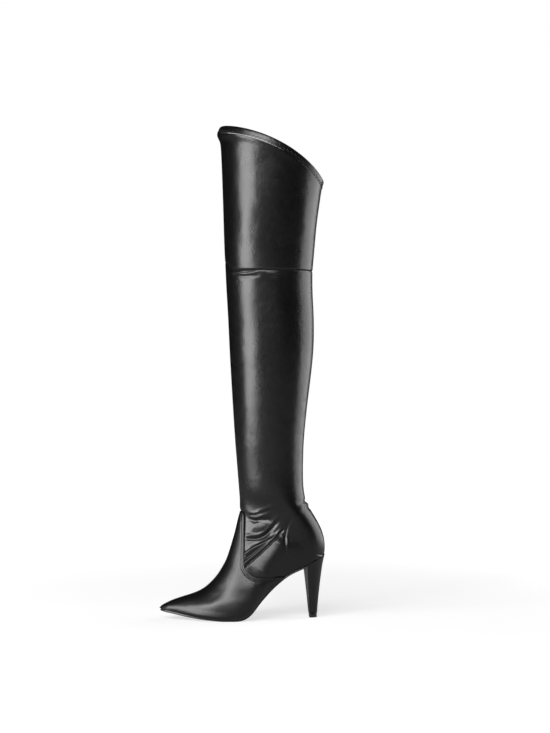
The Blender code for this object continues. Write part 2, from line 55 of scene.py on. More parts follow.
LEG_LINING_GAP = 0.0006
THIGH_LINING_GAP = 0.0002
LINING_PAST_KNEE = 0.0040  # how far the leg's lining reaches above the knee seam

# The vamp's seam, seen from the side
TONGUE_CORNER = (-0.0991, 0.1501)
SEAM_CORNER = (-0.1037, 0.0611)
TONGUE_SLOPE = (-2.0, 1.0)
SEAM_RADIUS = 0.0215
TONGUE_RADIUS = 0.0045
TUCK = 0.0090  # how far the quarters reach under the vamp

# Distances from the knee seam and inside the vamp's edge at which rows are laid
KNEE_LEVELS = (0.0080, 0.0062, 0.0047, 0.0035, 0.0025, 0.0017, 0.0011, 0.0006, 0.0002)
VAMP_LEVELS = (
    0.0090, 0.0075, 0.0064, 0.0055, 0.0050, 0.0046, 0.0043, 0.0040, 0.0036, 0.0031, 0.0027, 0.0023,
    0.0020, 0.0017, 0.0013, 0.0009, 0.0005, 0.0002,
)
STITCH_LEVELS = (0.0020, 0.0043)

# Seams, edges and thread
GROOVE = 0.00042
SEAM_DEPTH = 0.0009
SEAM_WIDTH = 0.0011
BACK_GROOVE = 0.00035
BACK_WIDTH = 0.0009
BACK_ZONE = (0.02, 0.01)  # behind the leg's upright line, and over which length it comes in
VAMP_DIP = 0.0006  # how far the quarters sink along the vamp's edge
VAMP_DIP_WIDTH = 0.0012
VAMP_ROUND = 0.00035
BEVEL_ANGLE = math.radians(50)
GROOVE_WIDTH = 0.0007
GROOVE_SHARE = 0.8  # how deep in its groove a row of stitches lies
FOLDS_FROM_VAMP = (-0.0030, 0.0045)  # the folds rise from this far under the vamp's edge, over this length
TURNED_EDGE = ((0.0007, 0.0001), (0.0012, 0.0012))  # how far the quarters' edge goes in and down at the knee
TIP_DEPTH = 0.0018  # the round of the toe's point
TIP_TURNS = [math.radians(degrees) for degrees in (68, 46, 24)]
STITCH_PITCH = 0.0022
STITCH_LENGTH = 0.0018
STITCH_THREAD = 0.0006
THREAD_FLATNESS = 0.4
THREAD_STANDS = 0.12
ZIGZAG_COUNT = 150
ZIGZAG_SHARES = (0.42, 0.06)  # up the band's height
ZIGZAG_THREAD = 0.0008
NEARBY_ANGLE = 0.5  # degrees to the point beside, and height to the one above, that give a normal
NEARBY_HEIGHT = 0.001

# Where leather is worn dull: how much at an edge, and how far that reaches
SEAM_WEAR = (0.7, 0.0016)
VAMP_WEAR = (0.8, 0.0012)
TOE_WEAR = (0.5, 0.0040)
FOLD_WEAR = 0.5  # at most
WORN_RISE = 0.0020  # a fold that is this high would be fully worn

# How finely panels are laid: rows, columns and points
HALF_COLUMNS = 96
HALF_RAYS = 128
ROW_STEP = 0.0013
QUARTER_ROWS = ((0, 0.27, 160), (0.27, 0.95, 92), (0.95, 1.0, 14))  # from share to share, and how many rows
QUARTER_COLUMNS = 301
VAMP_ROWS = 120
VAMP_COLUMNS = 193
LINING_FIRST_ROW = 30.0
LINING_ROWS = 170
LINING_COLUMNS = 97
STITCH_POINTS = 800
THIGH_ROWS = (0.06, 0.94, 84)
THIGH_TOP_ROWS = (0.94, 1.0, 12)
THIGH_COLUMNS = 181
THIGH_LINING_ROWS = (0.0005, 0.9995, 90)
END_SHARE = 0.0002  # kept from a skin's very ends, where a ray may miss

# Heights between which an edge is looked for
BELOW_KNEE = 0.47
ABOVE_KNEE = 0.52
THIGH_MIDDLE = 0.56
OVER_TOP = 0.72
COLLAR_HEIGHTS = np.arange(0.705, 0.590, -0.002)
ABOVE_COLLAR = 0.004
BELOW_COLLAR = 0.030

# How sections and edges are found
PLANES = 400
TRIAL_COLUMNS = 8
FINEST_PLANE = 0.0004  # in steps from one tape to the next
MOST_STEPS = 4  # what a jump between two planes counts for at most
SECTION_HALVINGS = 18
EDGE_HALVINGS = 20
AXIS_X = -0.058  # upright line inside the leg
RAY_START = 0.14  # from that line
MIDDLE_OF_SECTION = 0.42  # where rays start, as a share of the way from the sole to the ridge
KNEE_ZONE = 0.45  # from this height up a ray may slip through the knee seam
SEAM_STEP = Vector((0, 0, 0.0012))
BACK_GAP = 0.0030  # the ends of a row that are nearer than this meet at the back

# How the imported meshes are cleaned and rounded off
WELD = 0.00001
JOINED_FACES = math.radians(25)  # triangles join to a quad up to these angles
JOINED_SHAPE = math.radians(70)
SHARP = math.radians(34)
WALL_EDGE = math.radians(58)  # an edge as sharp as this bounds a wall's outer side
SOFT_CREASE = 0.9
UNDERSIDE = -0.5  # upward part of a normal that faces the floor
GUIDE_LEVELS = 3
COPY_LEVELS = 2

# Where a tape would go round the boot, from the tip of the toe to above the knee seam: the line from the
# sole or the back to the ridge, and how far its middle leans to the inner side.
Tape = namedtuple("Tape", "sole_x sole_z ridge_x ridge_z side")
TAPES = (
    Tape(-0.2146, 0.0155, -0.2152, 0.0178, 0.0069),
    Tape(-0.2135, 0.0151, -0.2139, 0.0191, 0.0069),
    Tape(-0.2015, 0.0131, -0.2002, 0.0257, 0.0065),
    Tape(-0.1700, 0.0073, -0.1726, 0.0341, 0.0040),
    Tape(-0.1288, 0.0038, -0.1424, 0.0536, -0.0002),
    Tape(-0.1097, 0.0038, -0.1323, 0.0669, -0.0016),
    Tape(-0.0970, 0.0082, -0.1242, 0.0815, -0.0023),
    Tape(-0.0800, 0.0278, -0.1193, 0.0960, -0.0026),
    Tape(-0.0600, 0.0482, -0.1151, 0.1100, -0.0024),
    Tape(-0.0380, 0.0649, -0.1110, 0.1250, -0.0016),
    Tape(-0.0130, 0.0763, -0.1085, 0.1365, 0.0000),
    Tape(0.0040, 0.0846, -0.1068, 0.1445, 0.0000),
    Tape(0.0160, 0.0905, -0.1050, 0.1530, 0.0000),
    Tape(0.0175, 0.0987, -0.1065, 0.1580, 0.0000),
    Tape(0.0136, 0.1235, -0.1061, 0.1690, 0.0000),
    Tape(-0.0007, 0.1495, -0.1064, 0.1790, 0.0000),
    Tape(-0.0138, 0.1839, -0.1080, 0.2020, 0.0000),
    Tape(-0.0145, 0.2080, -0.1092, 0.2180, 0.0000),
    Tape(-0.0136, 0.2500, -0.1118, 0.2500, 0.0000),
    Tape(-0.0100, 0.5250, -0.1180, 0.5250, 0.0000),
)

# Folds, given one by one. path: (degrees round the leg from the shin, height), outer side first. rise: out of
# the leather, or into it below 0. width: half width of the soft ridge or trough. fade: how it runs out at
# its ends.
Fold = namedtuple("Fold", "path rise width fade")
ANKLE_FOLDS = (
    Fold(((6, 0.1500), (30, 0.1500), (58, 0.1500), (80, 0.1500)), 0.0014, 0.0130, 0.020),
    Fold(((24, 0.1513), (36, 0.1512), (52, 0.1547), (77, 0.1603), (90, 0.1644)), 0.0012, 0.0017, 0.012),
    Fold(((19, 0.1478), (36, 0.1481), (56, 0.1520), (84, 0.1572)), -0.0013, 0.0014, 0.010),
    Fold(((27, 0.1458), (39, 0.1453), (56, 0.1489), (84, 0.1534)), 0.0012, 0.0015, 0.010),
    Fold(((14, 0.1440), (20, 0.1435), (35, 0.1400), (55, 0.1420), (92, 0.1410)), -0.0017, 0.0029, 0.014),
    Fold(((24, 0.1300), (45, 0.1300), (65, 0.1330), (84, 0.1380)), 0.0013, 0.0058, 0.010),
    Fold(
        ((22, 0.1205), (29, 0.1198), (47, 0.1208), (66, 0.1270), (87, 0.1388), (104, 0.1500)),
        0.0009, 0.0022, 0.010,
    ),
    Fold(
        ((22, 0.1160), (29, 0.1152), (47, 0.1156), (66, 0.1218), (87, 0.1334), (104, 0.1450)),
        -0.0019, 0.0027, 0.012,
    ),
    Fold(((28, 0.1070), (45, 0.1100), (60, 0.1160), (82, 0.1260)), -0.0012, 0.0050, 0.012),
    Fold(
        ((27, 0.0890), (33, 0.0950), (46, 0.1045), (67, 0.1108), (90, 0.1198), (114, 0.1330)),
        0.0012, 0.0021, 0.012,
    ),
    Fold(((27, 0.0820), (34, 0.0875), (44, 0.0955), (59, 0.1060), (70, 0.1102)), -0.0011, 0.0013, 0.006),
    Fold(
        ((27, 0.0765), (35, 0.0830), (45, 0.0920), (57, 0.1008), (77, 0.1112), (104, 0.1228)),
        0.0009, 0.0015, 0.010,
    ),
    Fold(
        ((27, 0.0660), (33, 0.0730), (38, 0.0785), (47, 0.0882), (66, 0.1022), (92, 0.1163), (116, 0.1303)),
        -0.0021, 0.0013, 0.008,
    ),
    Fold(
        ((55, 0.0580), (65, 0.0720), (75, 0.0830), (88, 0.0955), (100, 0.1070), (110, 0.1200)),
        0.0043, 0.0150, 0.014,
    ),
)
COUNTER_FOLDS = (
    Fold(
        (
            (118, 0.0880), (118, 0.0952), (119, 0.1176), (123, 0.1317), (129, 0.1433), (138, 0.1513),
            (154, 0.1565),
        ),
        0.0004, 0.0017, 0.014,
    ),
    Fold(
        ((114, 0.0900), (114, 0.0960), (115, 0.1180), (119, 0.1330), (126, 0.1450), (136, 0.1535)),
        -0.0008, 0.0016, 0.014,
    ),
)
BACK_FOLDS = (
    Fold(
        ((122, 0.1600), (137, 0.1629), (155, 0.1656), (180, 0.1672), (205, 0.1656), (238, 0.1600)),
        -0.0027, 0.0022, 0.020,
    ),
    Fold(
        ((128, 0.1600), (144, 0.1610), (160, 0.1612), (180, 0.1616), (200, 0.1612), (232, 0.1596)),
        0.0017, 0.0017, 0.016,
    ),
    Fold(
        ((124, 0.1520), (144, 0.1548), (161, 0.1570), (180, 0.1576), (199, 0.1570), (236, 0.1520)),
        -0.0014, 0.0018, 0.018,
    ),
)
KNEE_FOLDS = (
    Fold(((18, 0.4896), (32, 0.4890), (41, 0.4874), (50, 0.4880), (63, 0.4894)), 0.0013, 0.0013, 0.008),
    Fold(((18, 0.4862), (32, 0.4850), (41, 0.4834), (53, 0.4838), (68, 0.4856)), -0.0010, 0.0018, 0.010),
    Fold(((70, 0.4886), (84, 0.4874), (98, 0.4884)), 0.0006, 0.0015, 0.008),
    Fold(((74, 0.4860), (88, 0.4846), (104, 0.4862)), -0.0005, 0.0018, 0.010),
)
LEG_FOLDS = (
    Fold(((40, 0.470), (44, 0.430), (40, 0.390)), 0.0004, 0.0120, 0.030),
    Fold(((72, 0.440), (76, 0.390), (70, 0.330)), -0.0003, 0.0110, 0.030),
    Fold(((34, 0.330), (40, 0.290), (36, 0.240)), 0.0003, 0.0100, 0.025),
    Fold(((120, 0.400), (128, 0.340), (124, 0.280)), 0.0005, 0.0130, 0.030),
    Fold(((150, 0.300), (146, 0.240), (150, 0.200)), -0.0004, 0.0090, 0.020),
)
THIGH_FOLDS = (
    Fold(((50, 0.520), (46, 0.550), (52, 0.590)), 0.0005, 0.0110, 0.020),
    Fold(((140, 0.520), (132, 0.560), (136, 0.600)), 0.0004, 0.0120, 0.020),
)

# The foot's side is flatter before the ball and fuller behind it. A zone is where it starts and how long it
# is, below 0 where it runs towards the toe or down.
BALL_SHIFT = 0.0032
BALL_ZONE = (-0.142, 0.056)
BALL_FROM_TOE = (-0.212, 0.065)
BALL_TO_WAIST = (-0.042, -0.040)
BALL_FROM_SOLE = (0.0, 0.014)
SIDE_FACING = (0.15, 0.65)  # the sideways part of a normal
LOW_ON_FOOT = (0.074, -0.030)
SIDE_SLOPE = 0.0024
SLOPE_START = 0.006
SLOPE_REACH = 0.036
SLOPE_FROM_TOE = (-0.200, 0.065)
SLOPE_TO_WAIST = (-0.066, -0.035)
WELT_SHIFT = 0.0003
WELT_RIDGE = (0.003, 0.005)  # from the sole, and its width
WELT_HOLLOW = (0.016, 0.007)
WELT_FROM_TOE = (-0.205, 0.025)
WELT_TO_WAIST = (-0.112, -0.025)
WELT_FROM_SOLE = (0.0, 0.003)

INNER_SIDE = 0.94  # the inner side's folds, against the outer side's
INNER_DROP = 0.0022

# Leathers: their darkest and lightest colour, and their roughness
SHAFT_LEATHER = ((0.0018, 0.0018, 0.0020), (0.0055, 0.0055, 0.0060), 0.22)
VAMP_LEATHER = ((0.0020, 0.0020, 0.0022), (0.0060, 0.0060, 0.0063), 0.31)
HEEL_COVER = ((0.0026, 0.0026, 0.0026), (0.0070, 0.0070, 0.0070), 0.31)
GRAIN = 1400.0  # pebbles of the grain to the metre

# The photograph's camera
CAMERA_PLACE = (-0.3722, -2.5861, 0.3575)
CAMERA_TURN = math.radians(7)
FRAME_HEIGHT = 733
FOCAL_PIXELS = 1831
SENSOR = 36.0

# Lights: degrees to the right of the camera as seen from the boot, distance, width, bottom, top, watts
SOFT_BOXES = (
    ("main_box", -52, 1.6, 0.95, 0.0, 1.05, 26),
    ("high_box", -17, 3.0, 2.9, 1.4, 3.2, 145),
    ("back_box", 112, 1.6, 1.6, 0.0, 1.8, 23),
)
WORLD_LIGHT = 0.007
FLOOR_SIZE = 8.0
FLOOR_SHADE = (0.40, 0.40, 0.40, 1)
FLOOR_GLOW = 0.64
FLOOR_FADE = (0.25, 1.6)  # the floor fades into the white between these distances


def smoothstep(share):
    share = np.clip(share, 0.0, 1.0)
    return share * share * (3 - 2 * share)


class Socket:
    """A shader socket that takes part in arithmetic."""

    def __init__(self, finish, socket):
        self.finish = finish
        self.socket = socket

    def _math(self, operation, first, second):
        node = self.finish.node("ShaderNodeMath", {"operation": operation}, {0: first, 1: second})
        return Socket(self.finish, node.outputs[0])

    def __add__(self, other):
        return self._math("ADD", self, other)

    def __radd__(self, other):
        return self._math("ADD", other, self)

    def __mul__(self, other):
        return self._math("MULTIPLY", self, other)

    def __rmul__(self, other):
        return self._math("MULTIPLY", other, self)


class Finish:
    """A material and the nodes that make it."""

    def __init__(self, name, **constants):
        self.material = bpy.data.materials.new(name)
        self.material.use_nodes = True
        self.tree = self.material.node_tree
        self.shader = self.tree.nodes["Principled BSDF"]
        for socket, value in constants.items():
            self.shader.inputs[socket.replace("_", " ")].default_value = value

    def node(self, kind, settings=None, inputs=None):
        """Adds a node: its settings first, then the values or links of its sockets."""
        node = self.tree.nodes.new(kind)
        for name, value in (settings or {}).items():
            setattr(node, name, value)
        for name, value in (inputs or {}).items():
            self.join(value, node.inputs[name])
        return node

    def join(self, value, socket):
        if isinstance(value, Socket):
            self.tree.links.new(value.socket, socket)
        elif isinstance(value, bpy.types.NodeSocket):
            self.tree.links.new(value, socket)
        else:
            socket.default_value = value

    def value(self, kind, settings=None, inputs=None, output=0):
        return Socket(self, self.node(kind, settings, inputs).outputs[output])

    def place(self):
        return self.value("ShaderNodeTexCoord", output="Object")

    def noise(self, place, scale, detail=2.0, rough=0.5):
        inputs = {"Vector": place, "Scale": scale, "Detail": detail, "Roughness": rough}
        return self.value("ShaderNodeTexNoise", None, inputs)

    def cells(self, place, scale):
        inputs = {"Vector": place, "Scale": scale}
        return self.value("ShaderNodeTexVoronoi", {"feature": "F1"}, inputs, "Distance")

    def attribute(self, name):
        return self.value("ShaderNodeAttribute", {"attribute_name": name}, output="Fac")

    def colour(self, share, low, high):
        """A colour between two, by share."""
        mix = self.node("ShaderNodeMix", {"data_type": "RGBA"}, {0: share, 6: (*low, 1), 7: (*high, 1)})
        self.join(mix.outputs[2], self.shader.inputs["Base Color"])

    def roughness(self, value):
        self.join(value, self.shader.inputs["Roughness"])

    def bumps(self, *layers):
        """Bump nodes one on the other, each (height, distance)."""
        normal = None
        for height, distance in layers:
            inputs = {"Height": height, "Distance": distance, "Strength": 1.0}
            if normal:
                inputs["Normal"] = normal
            normal = self.node("ShaderNodeBump", None, inputs).outputs[0]
        self.join(normal, self.shader.inputs["Normal"])


def warped(finish, place, scale, amount):
    """Coordinates pushed about by a noise, so that cells don't line up."""
    push = finish.node("ShaderNodeTexNoise", None, {"Vector": place, "Scale": scale, "Detail": 1.0})
    pushed = finish.node(
        "ShaderNodeVectorMath", {"operation": "MULTIPLY_ADD"},
        {0: push.outputs["Color"], 1: (amount, amount, amount), 2: place},
    )
    return Socket(finish, pushed.outputs[0])


def leather_finish(name, low, high, dull):
    """Smooth faux leather: fine pebbled grain, cloudy sheen, dull along its cut and folded edges."""
    finish = Finish(name, Specular_IOR_Level=0.5, Coat_Weight=0.12, Coat_Roughness=0.22, IOR=1.5)
    place = finish.place()
    pebbles = finish.cells(warped(finish, place, 600.0, 0.0006), GRAIN)
    pores = finish.noise(place, GRAIN * 3, 2.0)
    clouds = finish.noise(place, 120.0, 3.0, 0.55)
    crinkle = finish.noise(place, 480.0, 3.0, 0.6)
    drift = finish.noise(place, 28.0, 2.0)
    wear = finish.attribute("wear")
    finish.colour(wear * 0.8 + clouds * 0.4, low, high)
    finish.roughness(dull + clouds * 0.08 + drift * 0.06 + wear * 0.10)
    grained = pebbles * 0.7 + pores * 0.3
    finish.bumps((drift, 0.0012), (clouds, 0.00022), (crinkle, 0.00010), (grained, 0.000045))
    return finish.material


def lining_finish():
    """Brushed knit behind the leather."""
    finish = Finish("black_lining", Specular_IOR_Level=0.3, Sheen_Weight=0.25, Sheen_Roughness=0.5)
    place = finish.place()
    ribs = finish.value(
        "ShaderNodeTexWave", {"bands_direction": "Z"},
        {"Vector": place, "Scale": 260.0, "Distortion": 1.5, "Detail": 1.0, "Detail Scale": 40.0},
    )
    fuzz = finish.noise(place, 2200.0, 3.0)
    patches = finish.noise(place, 90.0, 2.0)
    finish.colour(fuzz * 0.6 + patches * 0.4, (0.016, 0.016, 0.016), (0.040, 0.039, 0.038))
    finish.roughness(0.78 + fuzz * 0.2)
    finish.bumps((ribs * 0.5 + fuzz * 0.5, 0.00012))
    return finish.material


def sole_finish():
    """Painted and polished sole: glossy at its edge, fine texture and first scuffs underneath."""
    finish = Finish("black_rubber", Specular_IOR_Level=0.5, Coat_Weight=0.4, Coat_Roughness=0.12)
    place = finish.place()
    texture = finish.cells(place, 900.0)
    scuffs = finish.noise(place, 160.0, 4.0, 0.65)
    under = finish.attribute("under")
    finish.colour(scuffs * 0.6 + under * 0.4, (0.003, 0.003, 0.003), (0.014, 0.0135, 0.013))
    finish.roughness(0.20 + scuffs * 0.12 + under * 0.34)
    finish.bumps((scuffs, 0.00012), (texture * under, 0.00012))
    return finish.material


def thread_finish():
    """Twisted, waxed thread."""
    finish = Finish("black_thread", Specular_IOR_Level=0.5)
    place = finish.place()
    twist = finish.noise(place, 2600.0, 2.0)
    finish.colour(twist, (0.002, 0.002, 0.002), (0.007, 0.007, 0.007))
    finish.roughness(0.38 + twist * 0.2)
    finish.bumps((twist, 0.00010))
    return finish.material


def linked(name, mesh):
    obj = bpy.data.objects.new(name, mesh)
    bpy.context.scene.collection.objects.link(obj)
    return obj


def refined(obj, levels):
    """Subdivision that shows the same in the viewport and in a render."""
    modifier = obj.modifiers.new("refine", "SUBSURF")
    modifier.levels = levels
    modifier.render_levels = levels
    modifier.boundary_smooth = "PRESERVE_CORNERS"


def node_shape(node):
    """A node's mesh as quads where it can be, its loose triangles welded."""
    shape = bmesh.new()
    shape.from_mesh(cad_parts[node].data)
    bmesh.ops.remove_doubles(shape, verts=shape.verts, dist=WELD)
    bmesh.ops.join_triangles(
        shape,
        faces=shape.faces,
        angle_face_threshold=JOINED_FACES,
        angle_shape_threshold=JOINED_SHAPE,
    )
    return shape


def largest_stretch(shape):
    """The largest stretch of faces without a sharp edge: a wall's outer side."""
    left = set(shape.faces)
    largest, size = [], 0.0
    while left:
        start = left.pop()
        stretch, reached = [start], [start]
        while reached:
            face = reached.pop()
            for edge in face.edges:
                if not edge.is_manifold or edge.calc_face_angle() > WALL_EDGE:
                    continue
                for other in edge.link_faces:
                    if other in left:
                        left.discard(other)
                        stretch.append(other)
                        reached.append(other)
        area = sum(face.calc_area() for face in stretch)
        if area > size:
            largest, size = stretch, area
    return set(largest)


def smooth_skin(*nodes):
    """The outer sides of nodes, their facets rounded off, as one surface to measure from."""
    points, faces = [], []
    for node in nodes:
        shape = node_shape(node)
        outer = largest_stretch(shape)
        bmesh.ops.delete(shape, geom=[face for face in shape.faces if face not in outer], context="FACES")
        mesh = bpy.data.meshes.new(node + "_guide")
        shape.to_mesh(mesh)
        shape.free()
        guide = linked(node + "_guide", mesh)
        refined(guide, GUIDE_LEVELS)
        graph = bpy.context.evaluated_depsgraph_get()
        smooth = guide.evaluated_get(graph).to_mesh()
        start = len(points)
        points += [vertex.co.copy() for vertex in smooth.vertices]
        faces += [[start + i for i in polygon.vertices] for polygon in smooth.polygons]
        bpy.data.objects.remove(guide)
    return BVHTree.FromPolygons(points, faces)


def half_section(skin, tape, side, count):
    """Points along half of a section, from the ridge to the sole's edge or the back, evenly spaced."""
    sole = Vector((tape.sole_x, tape.side, tape.sole_z))
    ridge = Vector((tape.ridge_x, tape.side, tape.ridge_z))
    middle = sole.lerp(ridge, MIDDLE_OF_SECTION)
    ahead = (ridge - sole).normalized()
    out = Vector((0, side, 0))

    def met(angle):
        """Where a ray meets the skin; one that slips through the knee seam is cast again just below it."""
        ray = ahead * math.cos(angle) + out * math.sin(angle)
        point = skin.ray_cast(middle, ray)[0]
        if point or middle.z < KNEE_ZONE:
            return point
        return skin.ray_cast(middle - SEAM_STEP, ray)[0] + SEAM_STEP

    last = math.pi
    if met(last) is None:
        hit, missed = math.pi / 3, math.pi
        for _ in range(SECTION_HALVINGS):
            angle = (hit + missed) / 2
            if met(angle) is None:
                missed = angle
            else:
                hit = angle
        last = hit
    points = []
    for i in range(HALF_RAYS + 1):
        points.append(met(last * i / HALF_RAYS) or points[-1])
    return along(np.array(points), count)


def reach_along(points):
    """How far along a line each of its points lies."""
    return np.concatenate([[0.0], np.cumsum(np.linalg.norm(np.diff(points, axis=0), axis=1))])


def along(points, count):
    """count + 1 points at even distances along a line of points."""
    reach = reach_along(points)
    places = np.linspace(0.0, reach[-1], count + 1)
    return np.stack([np.interp(places, reach, points[:, axis]) for axis in range(3)], axis=1)


class Surface:
    """Rows and columns of points on the boot, read anywhere between them."""

    def __init__(self, points):
        self.points = points

    def at(self, row, column):
        """Points at fractional rows and columns, by cubics through their neighbours."""
        row, column = np.broadcast_arrays(np.asarray(row, float), np.asarray(column, float))
        rows, columns = self.points.shape[:2]
        row_low = np.clip(np.floor(row).astype(int), 0, rows - 2)
        column_low = np.clip(np.floor(column).astype(int), 0, columns - 2)
        total = 0.0
        for i, row_share in enumerate(cubic_shares(row - row_low)):
            reached = np.clip(row_low + i - 1, 0, rows - 1)
            for j, column_share in enumerate(cubic_shares(column - column_low)):
                beside = np.clip(column_low + j - 1, 0, columns - 1)
                total = total + self.points[reached, beside] * (row_share * column_share)[..., None]
        return total


def cubic_shares(share):
    square, cube = share * share, share * share * share
    return (
        -0.5 * cube + square - 0.5 * share,
        1.5 * cube - 2.5 * square + 1.0,
        -1.5 * cube + 2.0 * square + 0.5 * share,
        0.5 * cube - 0.5 * square,
    )


def tape_at(place):
    return Tape(*[np.interp(place, range(len(TAPES)), column) for column in zip(*TAPES)])


def measured_surface(skin):
    """The boot from the toe to above the knee seam, in rows that step evenly."""
    places = list(np.linspace(0, len(TAPES) - 1, PLANES))
    lines = [half_section(skin, tape_at(place), -1, TRIAL_COLUMNS) for place in places]
    number = 1
    while number < len(places):
        wide = np.linalg.norm(lines[number] - lines[number - 1], axis=1).max() > ROW_STEP
        if wide and places[number] - places[number - 1] > FINEST_PLANE:
            middle = (places[number - 1] + places[number]) / 2
            places.insert(number, middle)
            lines.insert(number, half_section(skin, tape_at(middle), -1, TRIAL_COLUMNS))
        else:
            number += 1
    between = np.linalg.norm(np.diff(lines, axis=0), axis=2).max(axis=1)
    reach = np.concatenate([[0.0], np.cumsum(np.minimum(between, MOST_STEPS * ROW_STEP))])
    chosen = np.interp(np.arange(0, reach[-1], ROW_STEP), reach, places)
    rows = []
    for place in chosen:
        outer, inner = (half_section(skin, tape_at(place), side, HALF_COLUMNS) for side in (-1, 1))
        rows.append(np.concatenate([outer[::-1], inner[1:]]))
    return Surface(np.array(rows))


def eased(place, zone):
    """From 0 to 1 across a zone."""
    start, length = zone
    return smoothstep((place - start) / length)


def bell(place, middle, width):
    return np.exp(-(((place - middle) / width) ** 2))


def fuller_ball(boot):
    """The surface with the foot's side flatter before the ball and fuller behind it."""
    points = boot.points
    lengths = np.linalg.norm(np.diff(points, axis=1), axis=2)
    reach = np.concatenate([np.zeros((len(points), 1)), np.cumsum(lengths, axis=1)], axis=1)
    from_sole = np.minimum(reach, reach[:, -1:] - reach)
    normals = normals_of(points)
    x = points[..., 0]
    side = eased(np.abs(normals[..., 1]), SIDE_FACING)
    ball = -np.cos(np.pi * np.clip((x - BALL_ZONE[0]) / BALL_ZONE[1], 0, 1)) * side
    ball *= eased(x, BALL_FROM_TOE) * eased(x, BALL_TO_WAIST) * eased(from_sole, BALL_FROM_SOLE)
    slope = 0.5 + 0.5 * np.cos(np.pi * np.clip((from_sole - SLOPE_START) / SLOPE_REACH, 0, 1))
    slope *= eased(x, SLOPE_FROM_TOE) * eased(x, SLOPE_TO_WAIST) * side * smoothstep(from_sole / SLOPE_START)
    welt = bell(from_sole, *WELT_RIDGE) - bell(from_sole, *WELT_HOLLOW)
    welt *= eased(x, WELT_FROM_TOE) * eased(x, WELT_TO_WAIST) * eased(from_sole, WELT_FROM_SOLE)
    rise = BALL_SHIFT * ball * eased(points[..., 2], LOW_ON_FOOT) + SIDE_SLOPE * slope + WELT_SHIFT * welt
    return Surface(points + normals * rise[..., None])


def round_leg(skin, degrees, height):
    """The point on the skin at an angle from the shin, the outer side first, and at a height."""
    angle = math.radians(degrees)
    out = Vector((-math.cos(angle), -math.sin(angle), 0))
    middle = Vector((AXIS_X, 0, height))
    point = skin.ray_cast(middle + out * RAY_START, -out)[0]
    return point if point and (point - middle).dot(out) > 0 else None


def rounded(a, b, radius):
    """The lesser of two distances, with a round where both are small."""
    near = (a < radius) & (b < radius)
    return np.where(near, radius - np.hypot(radius - a, radius - b), np.minimum(a, b))


def past_vamp(points):
    """How far points lie past the vamp's edge, seen from the side: below 0 on the vamp."""
    x, z = points[..., 0], points[..., 2]
    upright = np.subtract(TONGUE_CORNER, SEAM_CORNER)
    upright = upright / np.linalg.norm(upright)
    behind = (x - SEAM_CORNER[0]) * upright[1] - (z - SEAM_CORNER[1]) * upright[0]
    quarters = rounded(behind, z - SEAM_CORNER[1], SEAM_RADIUS)
    slope = np.array(TONGUE_SLOPE) / np.linalg.norm(TONGUE_SLOPE)
    above = (x - TONGUE_CORNER[0]) * slope[1] - (z - TONGUE_CORNER[1]) * slope[0]
    return -rounded(-quarters, -above, TONGUE_RADIUS)


def rows_at(field, level):
    """For each column, the fractional row where a field first rises past a level."""
    found = []
    for column in field.T:
        row = int(np.argmax(column > level))
        before, after = column[row - 1], column[row]
        found.append(row - 1 + (level - before) / (after - before))
    return np.array(found)


def normals_of(points):
    """Outward normals of a grid of points."""
    normals = np.cross(np.gradient(points, axis=1), np.gradient(points, axis=0))
    lengths = np.linalg.norm(normals, axis=2, keepdims=True)
    normals = normals / np.maximum(lengths, 1e-12)
    outward = ((points - points.mean(axis=1, keepdims=True)) * normals).sum()
    return normals * np.sign(outward)


def closed_at_back(points):
    """Brings the two ends of a row together where they nearly meet."""
    met = np.linalg.norm(points[:, 0] - points[:, -1], axis=1) < BACK_GAP
    middle = (points[met, 0] + points[met, -1]) / 2
    points[met, 0] = middle
    points[met, -1] = middle
    return points


def distance_to_line(points, line):
    """Distance from points to a line of points, and how far along it the nearest place is."""
    best = np.full(len(points), np.inf)
    place = np.zeros(len(points))
    reached = 0.0
    for a, b in zip(line, line[1:]):
        span = b - a
        length = np.linalg.norm(span)
        share = np.clip((points - a) @ span / length**2, 0.0, 1.0)
        distance = np.linalg.norm(points - a - share[:, None] * span, axis=1)
        nearer = distance < best
        best = np.where(nearer, distance, best)
        place = np.where(nearer, reached + share * length, place)
        reached += length
    return best, place, reached


def fold_line(skin, fold):
    """A fold's path as a smooth line on the skin."""
    path = Surface(np.array([fold.path, fold.path], float))
    places = np.linspace(0, len(fold.path) - 1, 6 * (len(fold.path) - 1) + 1)
    return np.array([round_leg(skin, degrees, height) for degrees, height in path.at(0.0, places)])


def fold_rise(points, skin, folds):
    """How far folds lift each point."""
    flat = points.reshape(-1, 3)
    rise = np.zeros(len(flat))
    for fold in folds:
        line = fold_line(skin, fold)
        reach = 3 * fold.width
        near = np.all((flat > line.min(axis=0) - reach) & (flat < line.max(axis=0) + reach), axis=1)
        if not near.any():
            continue
        distance, place, length = distance_to_line(flat[near], line)
        ends = smoothstep(np.minimum(place, length - place) / fold.fade)
        rise[near] += fold.rise * bell(distance, 0, fold.width) * ends
    return rise.reshape(points.shape[:2])


def on_inner_side(folds):
    """The same folds on the inner side, a little lower and softer, so that the two sides differ."""
    softer = []
    for fold in folds:
        path = tuple(
            (-degrees * INNER_SIDE, height - INNER_DROP * math.sin(math.radians(3 * degrees)))
            for degrees, height in fold.path
        )
        softer.append(Fold(path, fold.rise * INNER_SIDE, fold.width / INNER_SIDE, fold.fade))
    return tuple(softer)


